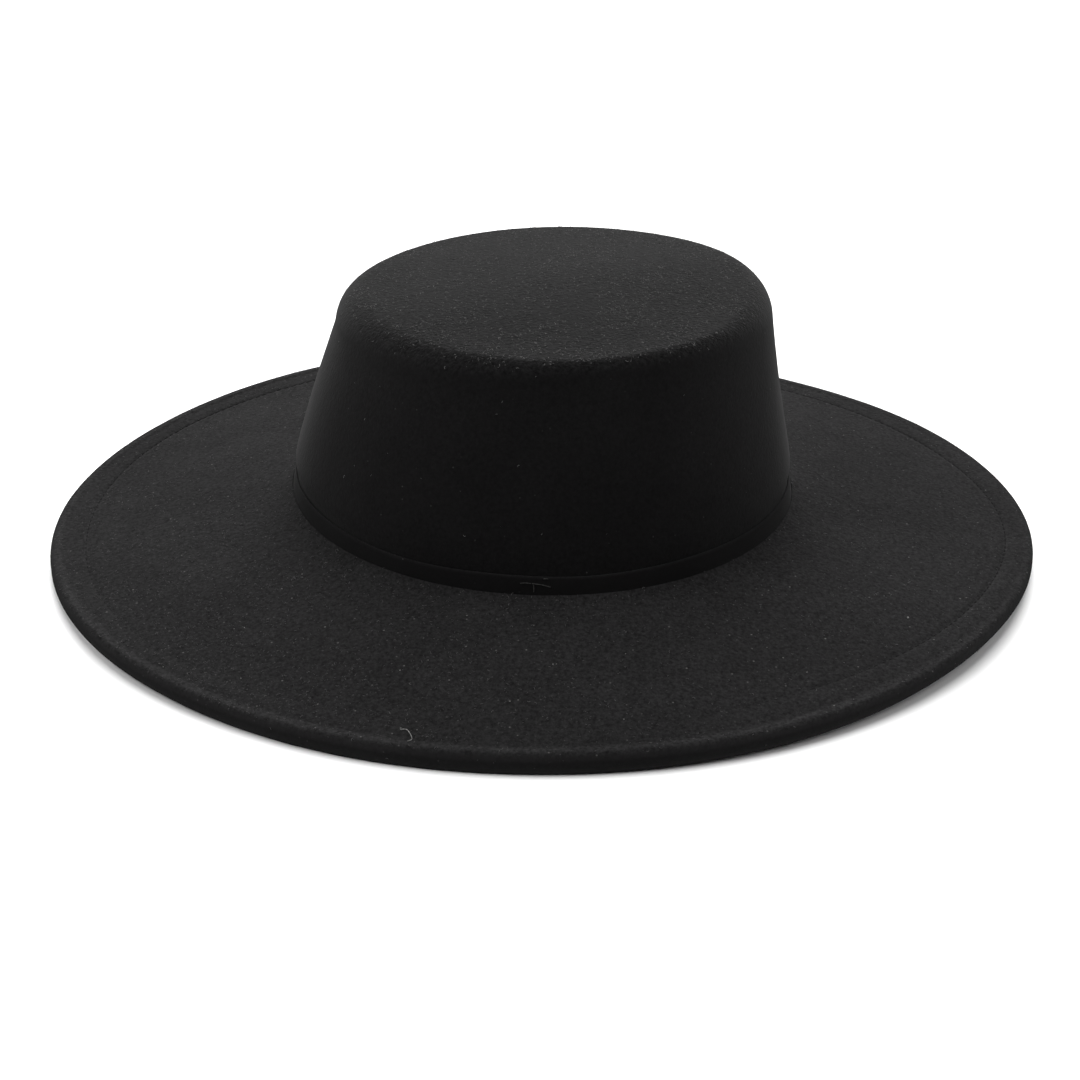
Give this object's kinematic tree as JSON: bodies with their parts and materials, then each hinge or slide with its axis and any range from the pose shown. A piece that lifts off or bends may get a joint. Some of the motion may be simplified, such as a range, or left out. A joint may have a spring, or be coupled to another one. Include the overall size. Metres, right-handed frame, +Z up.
{
  "type": "wide brim felt hat with a low flat crown",
  "caption": "Felt hat with a low flat-topped oval crown, a narrow felt strip round its foot and a wide brim with a turned-under hem, standing on its brim.",
  "frame": {"origin": "on the surface that the hat stands on, below the middle of the brim", "axes": "+Z up, +Y towards the back, along the long way of the head opening, +X to the right when seen from the front"},
  "size_m": [0.3454, 0.3518, 0.1008],
  "materials": {
    "crown_felt": "black wool felt, matt with a fine raised nap",
    "band_felt": "cut strip of the same black felt",
    "brim_felt": "black wool felt, matt with a fine raised nap and pale specks"
  },
  "bodies": {
    "root": {"crown": "crown_felt", "crown_band": "band_felt", "brim": "brim_felt"}
  },
  "joints": []
}
